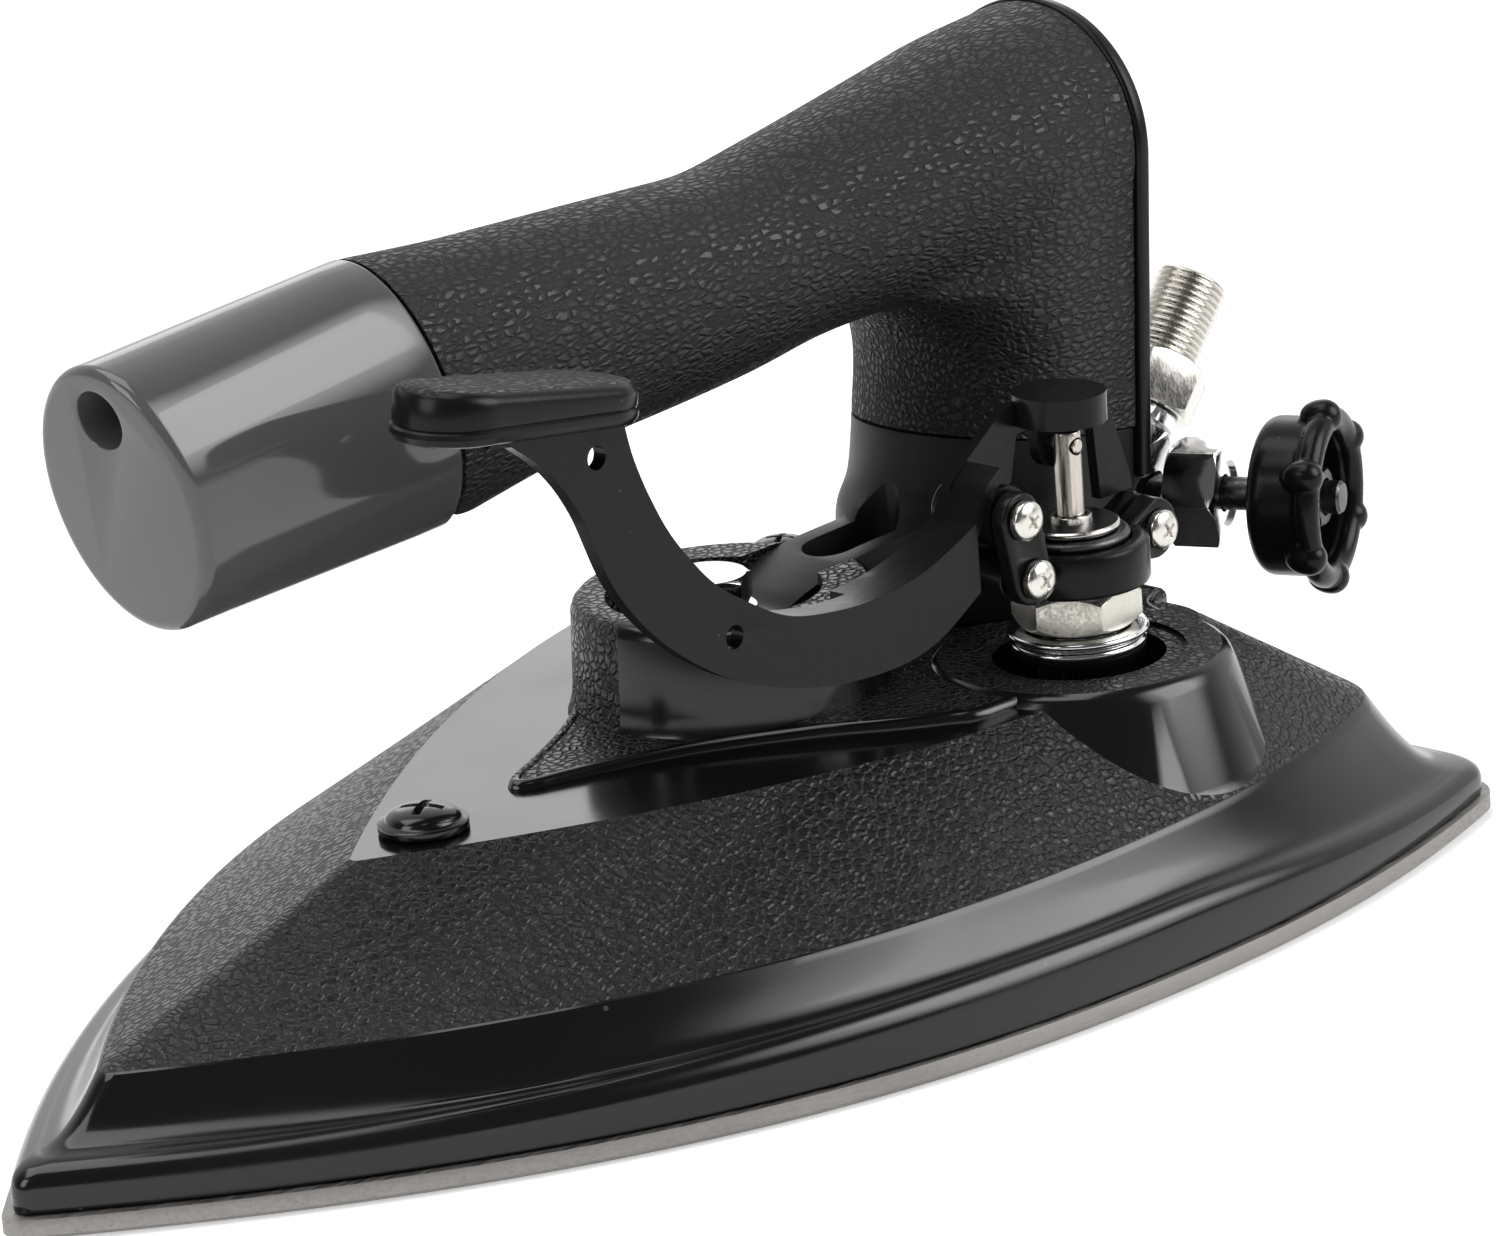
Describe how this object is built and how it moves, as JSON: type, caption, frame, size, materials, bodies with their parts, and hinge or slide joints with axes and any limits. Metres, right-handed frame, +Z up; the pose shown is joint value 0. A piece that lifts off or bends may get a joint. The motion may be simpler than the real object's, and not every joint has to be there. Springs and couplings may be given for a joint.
{
  "type": "steam iron",
  "caption": "Boiler-fed steam iron: pointed black iron body on a metal sole, round grip with a grey cap, thumb lever on a poppet valve, angled inlet nipple and a drain handwheel.",
  "frame": {"origin": "middle of the sole face, on the face", "axes": "+X towards the rear, the nose points to -X; the thumb lever stands on the -Y side; +Z up"},
  "size_m": [0.2207, 0.1246, 0.1074],
  "materials": {
    "sole_metal": "satin machined",
    "cast_metal": "as cast",
    "gasket": "matte",
    "cover_black": "gloss rim and band, leather grain on the slopes",
    "grip_black": "leather grain",
    "bracket_black": "satin black",
    "lever_black": "gloss black",
    "cap_grey": "gloss",
    "chrome": "polished",
    "nickel": "bright nickel plate",
    "nut_metal": "speckled yellowish plate",
    "dark_steel": "dark",
    "brass": "machined"
  },
  "bodies": {
    "iron": {"soleplate": "sole_metal", "chamber_gasket": "gasket", "chamber_lid": "cast_metal", "lid_screw_1": "dark_steel", "lid_screw_2": "dark_steel", "lid_screw_3": "dark_steel", "lid_screw_4": "dark_steel", "lid_screw_5": "dark_steel", "cover": "cover_black", "cover_screw_front": "lever_black", "cover_screw_rear": "lever_black", "handle_bracket": "bracket_black", "front_washer": "chrome", "front_bolt": "chrome", "handle_stud": "dark_steel", "handle_grip": "grip_black", "handle_cap": "cap_grey", "cap_screw": "dark_steel", "back_plate": "lever_black", "rear_block": "grip_black", "plate_screw": "dark_steel", "valve_body": "chrome", "valve_washer": "chrome", "valve_nut": "nut_metal", "clamp_ring": "lever_black", "clamp_screw": "nickel", "valve_bonnet": "dark_steel", "gland_disc": "dark_steel", "valve_spring": "nickel", "steam_fitting": "chrome", "inlet_nipple": "nickel", "drain_nut": "nickel"},
    "links": {"link_plate_near": "lever_black", "link_plate_far": "lever_black", "link_screw_upper": "nickel", "link_screw_lower": "nickel"},
    "lever": {"thumb_lever": "lever_black", "thumb_pad": "grip_black"},
    "stem": {"valve_stem": "nickel", "valve_plug": "brass", "stem_pin": "dark_steel"},
    "drain_plug": {"drain_disc": "brass"},
    "drain_wheel": {"drain_spindle": "nickel", "handwheel": "bracket_black", "wheel_nut": "dark_steel"}
  },
  "joints": [
    {"name": "link_swing", "type": "hinge", "parent": "iron", "child": "links", "pos_m": [0.0367, -0.03, 0.0474], "axis": [0, -1, 0], "range_deg": [-4.5, 0]},
    {"name": "lever_press", "type": "hinge", "parent": "links", "child": "lever", "pos_m": [0.035, -0.03, 0.0555], "axis": [0, -1, 0], "range_deg": [0, 10], "stiffness_Nm_per_rad": 0.5, "springref_deg": -17.19},
    {"name": "stem_lift", "type": "slide", "parent": "iron", "child": "stem", "axis": [0, 0, 1], "range_m": [0, 0.00174], "deforming": ["valve_spring"]},
    {"name": "spindle_travel", "type": "slide", "parent": "iron", "child": "drain_plug", "axis": [0.3904, -0.9207, 0], "range_m": [0, 0.003]},
    {"name": "handwheel_turn", "type": "hinge", "parent": "drain_plug", "child": "drain_wheel", "pos_m": [0.091, 0, 0.0393], "axis": [0.3904, -0.9207, 0], "range_deg": [0, 720]}
  ],
  "couplings": [
    {"joint": "link_swing", "follows": "stem_lift", "rad_per_m": -39.7},
    {"joint": "lever_press", "follows": "stem_lift", "rad_per_m": 100.5},
    {"joint": "handwheel_turn", "follows": "spindle_travel", "rad_per_m": 4188.8}
  ]
}
